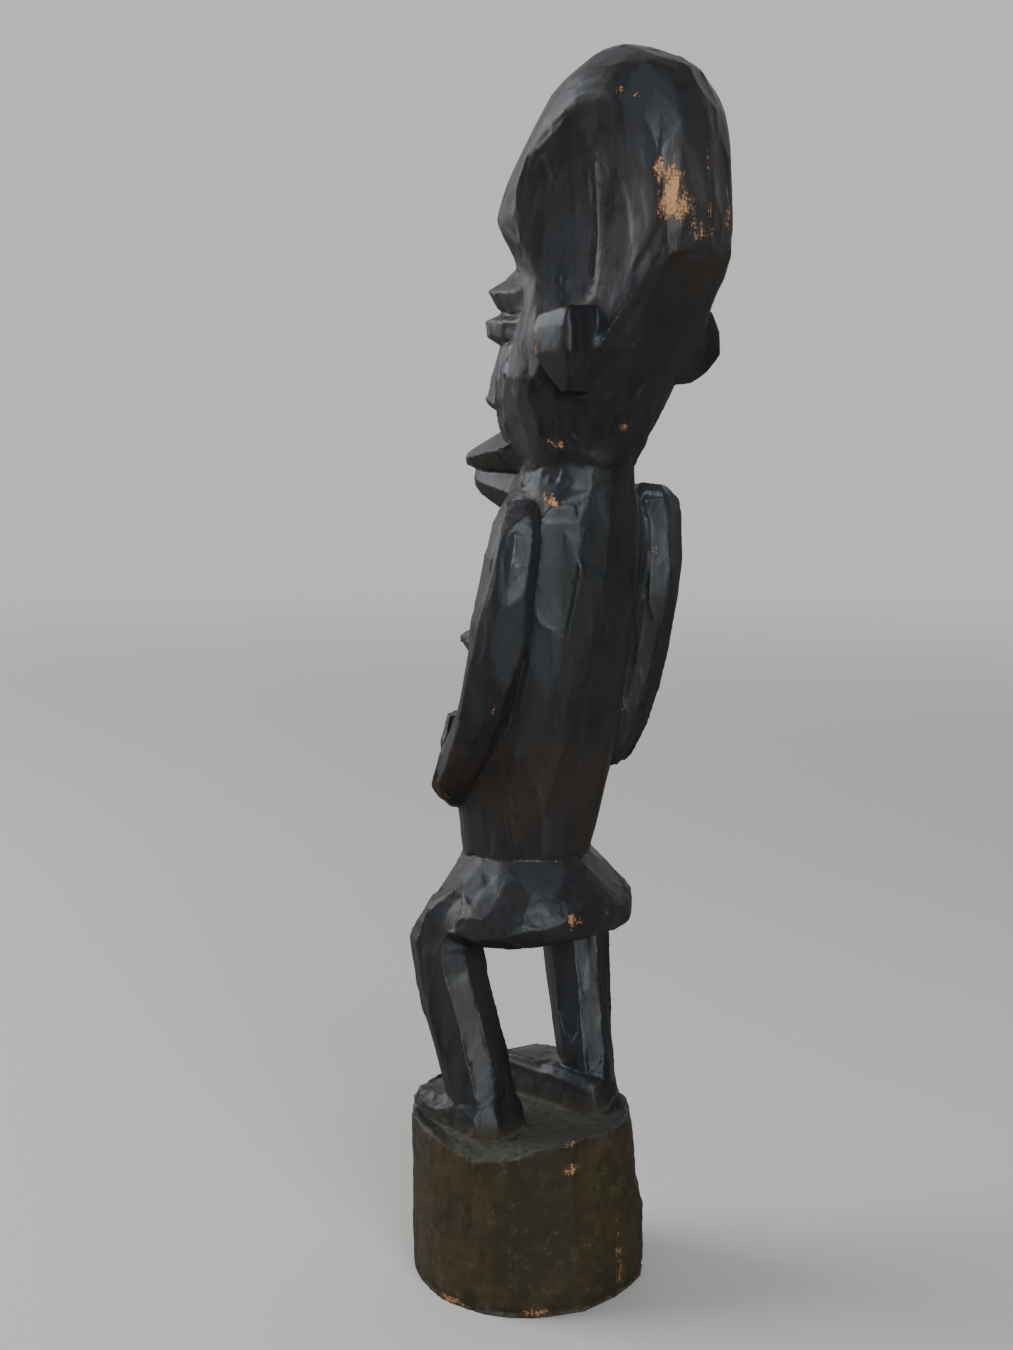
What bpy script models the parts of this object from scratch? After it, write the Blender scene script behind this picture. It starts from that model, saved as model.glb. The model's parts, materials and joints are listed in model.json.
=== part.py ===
"""A standing figure with a tall head, carved in one piece with the short log it stands on."""

import math
import random

import bmesh
import bpy
from mathutils import Matrix, Vector

# Driving dimensions in metres
LOG_HEIGHT = 0.056
LOG_RADIUS_FOOT = 0.0383
LOG_RADIUS_RIM = 0.0368
LOG_LEAN = 0.0022
EDGE_WEAR = 0.0006
RIM_DIP = 0.0068
RIM_RISE = 0.0042
TOP_HOLLOW = 0.0052
KNOT_BULGE = 0.0026
FLARE = 0.0038
RIM_RAGGED = 0.0005
FIGURE_HEIGHT = 0.3395

# The log, with places around it as degrees, 0 on the figure's left and 90 behind it
LOG_SIDES = 30
LEAN_ANGLE = 315
DIP_ANGLE = 25
DIP_SPREAD = 43
RISE_ANGLE = 248
RISE_SPREAD = 75
KNOT_ANGLE = 126
KNOT_SPREAD = 34
KNOT_FULL_SHARE = 0.42
KNOT_END_SHARE = 0.56
KNOT_FOOT = 0.6
FLARE_ANGLE = 45
FLARE_SPREAD = 78
FLARE_TOP_SHARE = 0.7
SIDE_WOBBLE = (0.986, 1.012)
SIDE_SHARES = (0.0, 0.02, 0.14, 0.28, KNOT_FULL_SHARE, KNOT_END_SHARE, 0.7, 0.86, 1.0)
# Each ring of the hollowed top: its share of the rim's radius, and how far it is down to the floor of the hollow
TOP_RINGS = ((0.93, 0.10), (0.84, 0.72), (0.55, 0.92), (0.2, 0.8))

# The figure, whose lengths are counted in parts of its own height
PARTS_IN_HEIGHT = 339.5
FIGURE_ASIDE = -6
FIGURE_BACK = 2
HIP_TURN = -8
CUT_WANDER = 0.45
LEVEL_PATH = 0.35
BROW_FACE = 5.6
BROW_SLANT = 0.65
LID_FACE = 5.0
LID_SLANT = 0.1
NOSE_SLOPE = 1.6
LIP_BLUNT = 1.0
LIP_UNDER_SHARE = 0.62
LIP_TOP_SHARE = 0.55
SCOOP_MIDDLE = (62.8, 46.8, 288.5)
SCOOP_RADII = (44.6, 76, 70)
SCOOP_TURN = 14
SCOOP_SEGMENTS = 32
SCOOP_ROUNDS = 20
EAR_BEVEL = 0.1
FINGERS = 4
FINGER_LOWEST = 111.5
FINGER_STEP = 5.6
FINGER_SWELL = 2.75
FINGER_REACH = 3.2
LONGEST_FINGER = 1.4
FINGER_SHORTER = 1.3
FOOT_SUNK = -10.5
FOOT_EDGE = 3.2
FOOT_TOP_SHARE = 0.76
FOOT_MARGIN = 1.2
TOES = 5
MIDDLE_TOE = 2
TOE_STEP = 4.2
TOE_ROOT = 5.0
TOE_LENGTH = 9.8
TOE_SHORTER = 1.0
TOE_DROP = 4.1
TOE_MARGIN = 2.6

# Ridges left by the knife around each form, in the same degrees
TRUNK_RIDGES = (3, 30, 58, 78, 101, 114, 148, 178, 200, 222, 246, 270, 294, 318, 340)
HEAD_RIDGES = (0, 24, 48, 68, 90, 112, 132, 156, 180, 204, 228, 250, 270, 290, 312, 336)
HIP_RIDGES = (0, 14, 30, 45, 58, 74, 92, 110, 128, 145, 162, 180, 200, 222, 243, 258, 270, 282, 297, 318, 340)
LIMB_RIDGES = (10, 52, 98, 140, 186, 230, 275, 322)
DIGIT_RIDGES = (20, 80, 140, 200, 260, 320)

WOOD_COLOUR = (0.020, 0.017, 0.016, 1.0)
WOOD_ROUGHNESS = 0.55
WOOD_METALLIC = 0.0

knife = random.Random(41)


def clear_scene():
    for obj in list(bpy.data.objects):
        bpy.data.objects.remove(obj, do_unlink=True)


def stained_wood():
    material = bpy.data.materials.new("stained_wood")
    material.use_nodes = True
    shader = material.node_tree.nodes["Principled BSDF"]
    shader.inputs["Base Color"].default_value = WOOD_COLOUR
    shader.inputs["Roughness"].default_value = WOOD_ROUGHNESS
    shader.inputs["Metallic"].default_value = WOOD_METALLIC
    material.diffuse_color = WOOD_COLOUR
    return material


def on_figure(x, y, z):
    """A place given in parts of the figure's height, from its middle plane and the top of the log."""
    part = FIGURE_HEIGHT / PARTS_IN_HEIGHT
    return Vector(((x + FIGURE_ASIDE) * part, (y + FIGURE_BACK) * part, z * part + LOG_HEIGHT))


def new_object(name, bm):
    bmesh.ops.recalc_face_normals(bm, faces=bm.faces)
    mesh = bpy.data.meshes.new(name)
    bm.to_mesh(mesh)
    bm.free()
    obj = bpy.data.objects.new(name, mesh)
    bpy.context.scene.collection.objects.link(obj)
    return obj


def loft(name, rings):
    """A closed solid through rings of places, each ring with as many as the first."""
    bm = bmesh.new()
    made = [[bm.verts.new(place) for place in ring] for ring in rings]
    for lower, upper in zip(made, made[1:]):
        count = len(lower)
        for i in range(count):
            j = (i + 1) % count
            bm.faces.new((lower[i], lower[j], upper[j], upper[i]))
    bm.faces.new(made[0])
    bm.faces.new(made[-1])
    return new_object(name, bm)


def section(ridges, squareness, wander):
    """Corners of one level section of width and depth 1, as pairs across and along."""
    corners = []
    for angle in ridges:
        turn = math.radians(angle)
        c = math.cos(turn)
        s = math.sin(turn)
        size = (abs(c) ** squareness + abs(s) ** squareness) ** (-1 / squareness)
        corners.append((c * size + knife.uniform(-wander, wander), s * size + knife.uniform(-wander, wander)))
    return corners


def stack(name, levels, ridges, turn=0):
    """A solid through level sections: height, middle across, middle along, half width, half depth, squareness."""
    swing = Matrix.Rotation(math.radians(turn), 2)
    rings = []
    for z, x, y, width, depth, squareness in levels:
        ring = []
        for across, along in section(ridges, squareness, CUT_WANDER / (width + depth)):
            spot = swing @ Vector((across * width, along * depth))
            ring.append(on_figure(x + spot.x, y + spot.y, z))
        rings.append(ring)
    return loft(name, rings)


def limb(name, stations, ridges=LIMB_RIDGES, side=1):
    """A solid along a path of stations: across, along, height, half width, half depth."""
    middles = [Vector((side * x, y, z)) for x, y, z, width, depth in stations]
    rings = []
    for i, (x, y, z, width, depth) in enumerate(stations):
        ahead = middles[min(i + 1, len(middles) - 1)]
        behind = middles[max(i - 1, 0)]
        along = (ahead - behind).normalized()
        first = Vector((0, 1, 0)).cross(along)
        if first.length < LEVEL_PATH:
            first = Vector((1, 0, 0)) - along * along.x
        first.normalize()
        second = along.cross(first)
        ring = []
        for a, b in section(ridges, 2, CUT_WANDER / (width + depth)):
            spot = middles[i] + first * (a * width) + second * (b * depth)
            ring.append(on_figure(*spot))
        rings.append(ring)
    return loft(name, rings)


def wedge(name, stations, face, slant, side=1):
    """A ridge that follows the face: root and edge places in plan, then its top, edge and underside heights.

    Its front is a narrow face that slants back below the edge.
    """
    rings = []
    for root, edge, top, mid, under in stations:
        low = mid - face
        back = face * slant / math.dist(root, edge)
        low_edge = [edge[k] + (root[k] - edge[k]) * back for k in range(2)]
        rings.append(
            [
                on_figure(side * root[0], root[1], top),
                on_figure(side * edge[0], edge[1], mid),
                on_figure(side * low_edge[0], low_edge[1], low),
                on_figure(side * root[0], root[1], under),
            ]
        )
    return loft(name, rings)


def bill(name, stations):
    """A lip that runs forward: distance along, half width, underside and top, blunt at its corners."""
    rings = []
    for y, width, under, top in stations:
        mid = (under + top) / 2
        rings.append(
            [
                on_figure(-width, y + LIP_BLUNT, mid),
                on_figure(-width * LIP_UNDER_SHARE, y, under),
                on_figure(width * LIP_UNDER_SHARE, y, under),
                on_figure(width, y + LIP_BLUNT, mid),
                on_figure(width * LIP_TOP_SHARE, y, top),
                on_figure(-width * LIP_TOP_SHARE, y, top),
            ]
        )
    return loft(name, rings)


def egg(name, middle, radii, turn, segments, rounds):
    """An ellipsoid for scooping: middle and radii in parts, turned about the upright."""
    part = FIGURE_HEIGHT / PARTS_IN_HEIGHT
    bm = bmesh.new()
    bmesh.ops.create_uvsphere(bm, u_segments=segments, v_segments=rounds, radius=1)
    place = (
        Matrix.Translation(on_figure(*middle))
        @ Matrix.Rotation(math.radians(turn), 4, "Z")
        @ Matrix.Diagonal((radii[0] * part, radii[1] * part, radii[2] * part, 1))
    )
    bmesh.ops.transform(bm, matrix=place, verts=bm.verts)
    return new_object(name, bm)


def change(body, helper, operation):
    """The helper is joined to the body or cut from it, and left as a hidden guide."""
    helper.hide_render = True
    helper.display_type = "WIRE"
    step = body.modifiers.new(helper.name, "BOOLEAN")
    step.operation = operation
    # The exact solver leaves an edge open where the fingers meet the belly.
    step.solver = "MANIFOLD"
    step.object = helper


def near(angle, middle, spread):
    """1 at the middle angle, falling smoothly to 0 at the spread on each side."""
    apart = abs((angle - middle + 180) % 360 - 180)
    return (0.5 + 0.5 * math.cos(math.pi * apart / spread)) if apart < spread else 0


def log_ring(share, radius, heights, wobble):
    """One ring of the log: its share of the height for the lean, its reach and the height at each corner."""
    lean = math.radians(LEAN_ANGLE)
    across = LOG_LEAN * share * math.cos(lean)
    along = LOG_LEAN * share * math.sin(lean)
    if share < KNOT_FULL_SHARE:
        knot_size = KNOT_FOOT + (1 - KNOT_FOOT) * share / KNOT_FULL_SHARE
    else:
        knot_size = max(0, KNOT_END_SHARE - share) / (KNOT_END_SHARE - KNOT_FULL_SHARE)
    ring = []
    for i in range(LOG_SIDES):
        degrees = 360 * i / LOG_SIDES
        angle = math.radians(degrees)
        knot = near(degrees, KNOT_ANGLE, KNOT_SPREAD) * knot_size
        flare = near(degrees, FLARE_ANGLE, FLARE_SPREAD) * max(0, 1 - share / FLARE_TOP_SHARE)
        reach = radius * wobble[i] + KNOT_BULGE * knot + FLARE * flare
        ring.append(Vector((across + reach * math.cos(angle), along + reach * math.sin(angle), heights[i])))
    return ring


def log():
    """The log: bark side with a knot, a rim that rises and falls, and a hollowed top."""
    wobble = [knife.uniform(*SIDE_WOBBLE) for _ in range(LOG_SIDES)]
    rim = []
    for i in range(LOG_SIDES):
        degrees = 360 * i / LOG_SIDES
        dip = RIM_DIP * near(degrees, DIP_ANGLE, DIP_SPREAD)
        rise = RIM_RISE * near(degrees, RISE_ANGLE, RISE_SPREAD)
        rim.append(LOG_HEIGHT - dip + rise + knife.uniform(-RIM_RAGGED, RIM_RAGGED))
    rings = []
    for share in SIDE_SHARES:
        radius = LOG_RADIUS_FOOT + (LOG_RADIUS_RIM - LOG_RADIUS_FOOT) * share
        if share == 0:
            radius -= EDGE_WEAR
        rings.append(log_ring(share, radius, [share * height for height in rim], wobble))
    for inward, hollow in TOP_RINGS:
        radius = LOG_RADIUS_RIM * inward
        floor = LOG_HEIGHT - TOP_HOLLOW
        heights = [height + (floor - height) * hollow for height in rim]
        rings.append(log_ring(1.0, radius, heights, wobble))
    return loft("log", rings)


def trunk():
    """Belly, back and neck, leaning back as they rise from the waist."""
    return stack(
        "trunk",
        (
            (76, 0, -8.3, 19.5, 19, 2.0),
            (85, 0, -8.3, 21.2, 20.8, 2.0),
            (95, 0, -7.4, 23.8, 22.6, 2.05),
            (103, 0, -6.2, 25.3, 24.0, 2.1),
            (112, 0, -5.6, 26.4, 25, 2.1),
            (122, 0, -3.8, 27.2, 25.8, 2.1),
            (134, 0, -1.6, 27, 25.8, 2.1),
            (147, 0, 1.8, 26.2, 25.2, 2.1),
            (163, 0, 6.0, 25.5, 24.5, 2.1),
            (184, 0, 8.6, 27.4, 23, 2.1),
            (197, 0, 11.0, 27.2, 21, 2.1),
            (202, 0, 12.2, 24.6, 20, 2.05),
            (207, 0, 13.5, 19, 18.8, 2.0),
            (215, 0, 14.4, 17.5, 18, 2.0),
            (226, 0, 14.5, 17.5, 18, 2.0),
        ),
        TRUNK_RIDGES,
    )


def hips():
    """Hips and seat as one flared block with a flat underside."""
    return stack(
        "hips",
        (
            (59.3, 0.5, -8.5, 28.5, 25.5, 2.4),
            (61.0, 0.5, -8.0, 32.0, 29.0, 2.4),
            (64.0, 0.5, -6.9, 34.4, 31.0, 2.4),
            (69.5, 0, -5.0, 34.0, 30.4, 2.3),
            (76, 0, -4.4, 29.8, 27.2, 2.2),
            (82, 0, -6.0, 25.2, 23.8, 2.1),
            (88.5, 0, -7.8, 19.0, 18.2, 2.0),
        ),
        HIP_RIDGES,
        HIP_TURN,
    )


def skull():
    """The tall head, overhanging behind and pinched in at the neck.

    Each level has its height, then the front, the widest line and the back along the figure, its half width,
    and how square it is in front of the widest line and behind it.
    """
    levels = (
        (211.0, -4.0, 13.5, 31.0, 15.5, 2.0, 2.0),
        (216.0, -6.6, 13.0, 33.8, 18.0, 2.0, 2.1),
        (221.0, -10.0, 13.0, 35.3, 20.5, 2.0, 2.3),
        (227.0, -13.0, 13.5, 38.0, 23.0, 2.0, 2.5),
        (234.0, -14.4, 15.0, 39.8, 25.5, 2.0, 2.6),
        (241.0, -13.7, 22.0, 42.5, 28.8, 2.0, 2.2),
        (250.0, -11.0, 30.0, 48.5, 30.5, 1.9, 2.9),
        (262.0, -7.2, 31.0, 57.2, 30.5, 1.62, 2.1),
        (271.0, -4.5, 34.0, 64.1, 30.0, 1.65, 2.05),
        (278.0, -4.5, 32.0, 67.4, 30.0, 1.9, 2.1),
        (284.5, -9.0, 30.0, 69.2, 30.8, 2.05, 2.05),
        (290.0, -11.2, 29.0, 69.2, 31.3, 2.05, 2.05),
        (297.0, -8.0, 30.0, 68.4, 31.0, 2.05, 2.05),
        (305.0, -3.5, 32.0, 67.4, 30.2, 2.05, 2.05),
        (312.0, 0.6, 33.5, 66.4, 28.7, 2.05, 2.05),
        (319.0, 5.2, 35.0, 64.8, 26.4, 2.05, 2.05),
        (325.5, 10.5, 36.0, 62.2, 23.4, 2.05, 2.05),
        (331.5, 17.0, 37.5, 58.2, 19.2, 2.05, 2.05),
        (335.5, 21.4, 36.6, 51.0, 14.0, 2.05, 2.05),
        (338.2, 27.0, 35.8, 45.0, 8.6, 2.0, 2.0),
        (339.5, 31.0, 35.5, 40.5, 4.4, 2.0, 2.0),
    )
    rings = []
    for z, front, widest, back, width, front_square, back_square in levels:
        wander = CUT_WANDER / (width + (back - front) / 2)
        before = section(HEAD_RIDGES, front_square, wander)
        behind = section(HEAD_RIDGES, back_square, wander)
        ring = []
        for (x_before, y_before), (x_behind, y_behind) in zip(before, behind):
            if y_behind > 0:
                ring.append(on_figure(x_behind * width, widest + y_behind * (back - widest), z))
            else:
                ring.append(on_figure(x_before * width, widest + y_before * (widest - front), z))
        rings.append(ring)
    return loft("skull", rings)


def temple_scoop(side):
    """The hollow facet that runs down each side of the head to the ear."""
    x, y, z = SCOOP_MIDDLE
    return egg("temple_scoop", (side * x, y, z), SCOOP_RADII, side * SCOOP_TURN, SCOOP_SEGMENTS, SCOOP_ROUNDS)


def ear(side):
    """A thick slab that stands out from the head, cut off slanting below.

    Each level has its heights at the back and at the front, then how far it reaches in, out, forward and back.
    """
    left = (
        (237.0, 236.5, 20, 28.8, 34.0, 37.8),
        (241.5, 241.0, 20, 31.6, 31.0, 40.8),
        (249.0, 248.4, 21, 35.4, 27.4, 43.2),
        (257.0, 255.6, 21, 35.4, 27.2, 43.0),
        (262.5, 260.0, 22, 34.2, 28.6, 42.4),
    )
    right = (
        (239.4, 238.9, 20, 28.0, 34.0, 37.8),
        (243.0, 242.5, 20, 32.4, 31.0, 40.8),
        (248.4, 247.8, 21, 36.2, 27.6, 43.2),
        (255.5, 254.4, 21, 36.0, 27.4, 43.0),
        (262.5, 260.0, 22, 31.6, 28.6, 42.4),
    )
    rings = []
    for high, low, inner, outer, front, back in left if side > 0 else right:
        bevel = (outer - inner) * EAR_BEVEL
        rings.append(
            [
                on_figure(side * inner, front, low),
                on_figure(side * (outer - bevel), front, low),
                on_figure(side * outer, front + bevel, low),
                on_figure(side * outer, back - bevel, high),
                on_figure(side * (outer - bevel), back, high),
                on_figure(side * inner, back, high),
            ]
        )
    return loft("ear", rings)


def brow():
    """One wedge over both eyes, from temple to temple."""
    half = (
        ((24.0, 20), (27.4, 12), 272.5, 267.4, 260.6),
        ((18.5, 9), (23.2, -3), 275.5, 268.0, 259.0),
        ((8.0, 3), (12.0, -14), 276.5, 268.2, 258.5),
    )
    middle = ((0, 2), (0, -16.5), 276, 267.6, 258.5)
    stations = list(half) + [middle]
    mirrored = [((-root[0], root[1]), (-edge[0], edge[1]), top, mid, under) for root, edge, top, mid, under in half]
    return wedge("brow", stations + mirrored[::-1], BROW_FACE, BROW_SLANT)


def eye(side):
    """A bean-shaped lid cut to a sharp edge."""
    return wedge(
        "eye",
        (
            ((22.0, 18), (25.0, 11), 260.5, 258.0, 250.6),
            ((17.0, 9), (22.0, -3.8), 263.4, 258.8, 246.6),
            ((11.0, 3), (15.4, -12.0), 264.6, 258.8, 245.2),
            ((6.0, 0), (8.4, -15.4), 263.4, 258.6, 246.8),
            ((2.0, -2), (3.2, -13.5), 261, 257.8, 250.6),
        ),
        LID_FACE,
        LID_SLANT,
        side,
    )


def nose():
    """A thin straight nose that widens a little to its tip: height, half width, root and edge of each level."""
    levels = (
        (268, 1.8, 2, -13),
        (254, 2.3, -2, -20),
        (240, 3.6, -4, -25.6),
        (234, 4.6, -6, -28),
        (230.5, 4.2, -6, -23),
    )
    rings = []
    for z, half, root, edge in levels:
        slope = edge + half * NOSE_SLOPE
        rings.append(
            [
                on_figure(-half, root, z),
                on_figure(-half, slope, z),
                on_figure(0, edge, z),
                on_figure(half, slope, z),
                on_figure(half, root, z),
            ]
        )
    return loft("nose", rings)


def upper_lip():
    return bill(
        "upper_lip",
        (
            (4, 19.5, 211.4, 229.5),
            (-6, 16.5, 211.6, 226.6),
            (-17, 13, 211.8, 222.5),
            (-28, 8.6, 212.0, 218.6),
            (-34, 4.2, 212.4, 216.6),
        ),
    )


def lower_lip():
    return bill(
        "lower_lip",
        (
            (2, 15, 191.5, 213.4),
            (-8, 11.2, 196.5, 213.0),
            (-18.5, 9.2, 200.5, 212.7),
            (-25.5, 7.2, 203.2, 212.4),
            (-30, 4.2, 205.6, 211.8),
        ),
    )


def breast(side):
    """A small pointed breast."""
    return limb(
        "breast",
        (
            (9.5, -10, 155, 8.0, 8.5),
            (10.5, -17, 155.4, 6.5, 7.0),
            (11.5, -23.5, 156, 3.6, 4.2),
            (12.0, -28.0, 156.4, 1.0, 1.1),
        ),
        side=side,
    )


def upper_arm(side):
    """From the shoulder down to the elbow, close to the trunk. The right shoulder is left square."""
    left = (
        (28.0, 19.4, 203.5, 3.4, 4.2),
        (30.4, 19.8, 200.0, 5.6, 6.4),
        (32.4, 19.4, 194.0, 8.0, 8.4),
        (33.6, 18.0, 186.0, 8.9, 9.6),
        (34.0, 16.6, 176.0, 9.2, 9.8),
        (33.9, 13.6, 164.0, 9.3, 9.8),
        (33.3, 10.0, 152.0, 9.1, 9.4),
        (32.2, 4.6, 139.0, 8.3, 8.8),
        (30.8, -1.4, 129.0, 7.8, 8.4),
        (29.5, -5.0, 123.0, 6.0, 6.5),
    )
    right = (
        (34.2, 13.8, 206.4, 6.8, 7.0),
        (33.4, 13.9, 202.4, 10.6, 9.8),
        (35.2, 14.2, 196.0, 10.4, 10.4),
        (35.3, 14.8, 184.0, 10.0, 10.2),
        (34.8, 13.6, 170.0, 9.9, 10.2),
        (34.0, 10.6, 153.0, 9.8, 10.0),
        (33.2, 7.8, 138.0, 9.6, 9.8),
        (31.2, 4.9, 129.0, 9.8, 9.7),
        (29.0, 2.4, 121.0, 9.8, 9.5),
        (27.0, 0.0, 113.6, 6.2, 6.6),
    )
    return limb("upper_arm", left if side > 0 else right, side=side)


def forearm(side):
    """From the elbow forward, down and inward to the wrist on the belly."""
    left = (
        (31.2, 1.5, 132.0, 6.0, 6.5),
        (30.6, -3.0, 127.0, 7.8, 8.0),
        (29.0, -10.0, 118.0, 7.4, 7.7),
        (26.0, -17.5, 110.0, 6.7, 7.0),
        (19.8, -21.2, 106.6, 5.5, 5.9),
        (15.4, -24.8, 107.4, 4.6, 5.2),
    )
    right = (
        (29.3, 3.5, 124.0, 6.5, 7.0),
        (28.4, -1.0, 119.5, 8.2, 8.6),
        (27.0, -10.0, 113.5, 7.5, 7.8),
        (24.5, -18.5, 109.0, 6.7, 7.0),
        (20.5, -24.0, 106.6, 5.7, 6.1),
        (16.0, -26.5, 107.2, 4.6, 5.2),
    )
    return limb("forearm", left if side > 0 else right, side=side)


def palm(side):
    return limb(
        "palm",
        (
            (16.6, -22.2, 106, 5.0, 3.2),
            (16.8, -24.6, 112, 5.8, 4.2),
            (16.8, -25.2, 123, 6.0, 4.4),
            (16.5, -23.5, 132, 4.4, 3.4),
        ),
        side=side,
    )


def finger(side, number):
    """One of four fingers laid across the belly, one above the other."""
    height = FINGER_LOWEST + number * FINGER_STEP
    reach = FINGER_REACH + abs(number - LONGEST_FINGER) * FINGER_SHORTER
    swell = FINGER_SWELL
    return limb(
        f"finger_{number}",
        (
            (18.0, -22.3, height, swell, swell * 1.5),
            (14.0, -27.0, height + 0.3, swell, swell * 1.6),
            (9.0, -29.2, height + 0.4, swell, swell * 1.65),
            (reach + 1.8, -29.8, height + 0.2, swell * 0.95, swell * 1.6),
            (reach, -29.2, height, swell * 0.5, swell * 1.1),
        ),
        DIGIT_RIDGES,
        side,
    )


def leg(side):
    """Thigh from the hip forward to the knee, then the shin back and down into the foot."""
    left = (
        (17.0, -4.0, 75.0, 10.0, 9.0),
        (20.3, -10.5, 70.0, 12.2, 10.4),
        (23.2, -17.4, 65.0, 12.6, 11.6),
        (24.6, -21.8, 57.0, 12.8, 12.4),
        (24.2, -20.2, 46.0, 12.5, 12.3),
        (23.0, -16.0, 33.0, 12.2, 11.9),
        (21.9, -11.8, 19.0, 11.8, 11.6),
        (21.2, -8.4, 8.0, 11.4, 11.2),
        (21.0, -7.2, 2.0, 11.2, 11.0),
        (20.8, -6.6, -8.0, 10.2, 10.2),
    )
    right = (
        (18.0, 2.0, 75.0, 10.0, 9.0),
        (21.5, -3.5, 71.5, 12.4, 10.8),
        (24.4, -8.0, 66.0, 12.2, 11.4),
        (25.6, -10.4, 57.0, 12.0, 11.8),
        (24.9, -8.6, 46.0, 11.8, 11.8),
        (23.4, -5.4, 33.0, 11.1, 11.2),
        (21.6, -2.2, 19.0, 9.6, 10.0),
        (20.2, 1.4, 7.0, 9.0, 9.4),
        (20.0, 2.4, -1.0, 9.2, 9.6),
        (20.0, 2.6, -8.0, 9.0, 9.4),
    )
    return limb("leg", left if side > 0 else right, side=side)


def foot_frame(side):
    """Heel and toe ends of a foot with the heights of its top there: each foot is turned its own way."""
    if side > 0:
        return Vector((20.6, 4.5)), Vector((22.2, -30.0)), 4.8, 7.4
    return Vector((-19.4, 12.8)), Vector((-16.8, -29.0)), 8.0, 10.8


def within_log(spot, margin):
    """The same place in plan, drawn in where it would stand out from the side of the log."""
    part = FIGURE_HEIGHT / PARTS_IN_HEIGHT
    lean = math.radians(LEAN_ANGLE)
    shift = LOG_LEAN / part
    middle = Vector((shift * math.cos(lean) - FIGURE_ASIDE, shift * math.sin(lean) - FIGURE_BACK))
    reach = LOG_RADIUS_RIM / part - margin
    out = spot - middle
    if out.length <= reach:
        return spot
    return middle + out * (reach / out.length)


def foot(side):
    """A foot let into the top of the log: a block round the ankle, flatter towards the toes."""
    heel, toes, heel_top, toe_top = foot_frame(side)
    ahead = (toes - heel).normalized()
    across = Vector((-ahead.y, ahead.x))
    left = (
        (0.0, 6.8, -2.8),
        (0.05, 9.4, -1.0),
        (0.14, 11.8, -0.2),
        (0.30, 13.0, 0.4),
        (0.46, 12.2, 0.6),
        (0.56, 11.0, -0.6),
        (0.80, 10.8, -0.4),
        (1.0, 11.4, -0.8),
    )
    right = (
        (0.0, 6.0, -3.0),
        (0.05, 8.8, -1.2),
        (0.14, 10.6, -0.2),
        (0.30, 11.4, 0.4),
        (0.46, 11.2, 0.6),
        (0.56, 10.6, -0.6),
        (0.80, 10.8, -0.4),
        (1.0, 11.4, -0.8),
    )
    outline = (
        (-1.0, FOOT_SUNK, 0.0),
        (1.0, FOOT_SUNK, 0.0),
        (1.0, -FOOT_EDGE, 1.0),
        (FOOT_TOP_SHARE, 0.0, 1.0),
        (-FOOT_TOP_SHARE, 0.0, 1.0),
        (-1.0, -FOOT_EDGE, 1.0),
    )
    rings = []
    for share, width, rise in left if side > 0 else right:
        middle = heel + (toes - heel) * share
        top = heel_top + (toe_top - heel_top) * share + rise
        ring = []
        for out, height, above in outline:
            spot = within_log(middle + across * (out * width), FOOT_MARGIN)
            ring.append(on_figure(spot.x, spot.y, height + top * above))
        rings.append(ring)
    return loft("foot", rings)


def toe(side, number):
    """One of five toes along the front of a foot, from the great toe outwards."""
    heel, toes, heel_top, toe_top = foot_frame(side)
    ahead = (toes - heel).normalized()
    across = Vector((-ahead.y, ahead.x))
    if across.x * side < 0:
        across = -across
    start = toes + across * ((number - MIDDLE_TOE) * TOE_STEP) - ahead * TOE_ROOT
    length = TOE_LENGTH - number * TOE_SHORTER
    height = toe_top - TOE_DROP
    stations = []
    for share, width, depth, drop in ((0, 2.1, 2.9, 0), (0.6, 2.4, 2.9, 0.4), (1, 1.6, 1.9, 0.9)):
        spot = within_log(start + ahead * (length * share), TOE_MARGIN - share)
        stations.append((spot.x, spot.y, height - drop, width, depth))
    return limb(f"toe_{number}", stations, DIGIT_RIDGES)


def carve():
    body = trunk()
    body.name = "carved_figure"
    body.data.materials.append(stained_wood())
    change(body, skull(), "UNION")
    for side in (1, -1):
        change(body, temple_scoop(side), "DIFFERENCE")
    change(body, hips(), "UNION")
    change(body, brow(), "UNION")
    change(body, nose(), "UNION")
    change(body, upper_lip(), "UNION")
    change(body, lower_lip(), "UNION")
    change(body, log(), "UNION")
    for side in (1, -1):
        change(body, ear(side), "UNION")
        change(body, eye(side), "UNION")
        change(body, breast(side), "UNION")
        change(body, upper_arm(side), "UNION")
        change(body, forearm(side), "UNION")
        change(body, palm(side), "UNION")
        for number in range(FINGERS):
            change(body, finger(side, number), "UNION")
    for side in (1, -1):
        change(body, leg(side), "UNION")
        change(body, foot(side), "UNION")
        for number in range(TOES):
            change(body, toe(side, number), "UNION")
    return body


clear_scene()
carve()
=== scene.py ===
import json
import math

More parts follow.
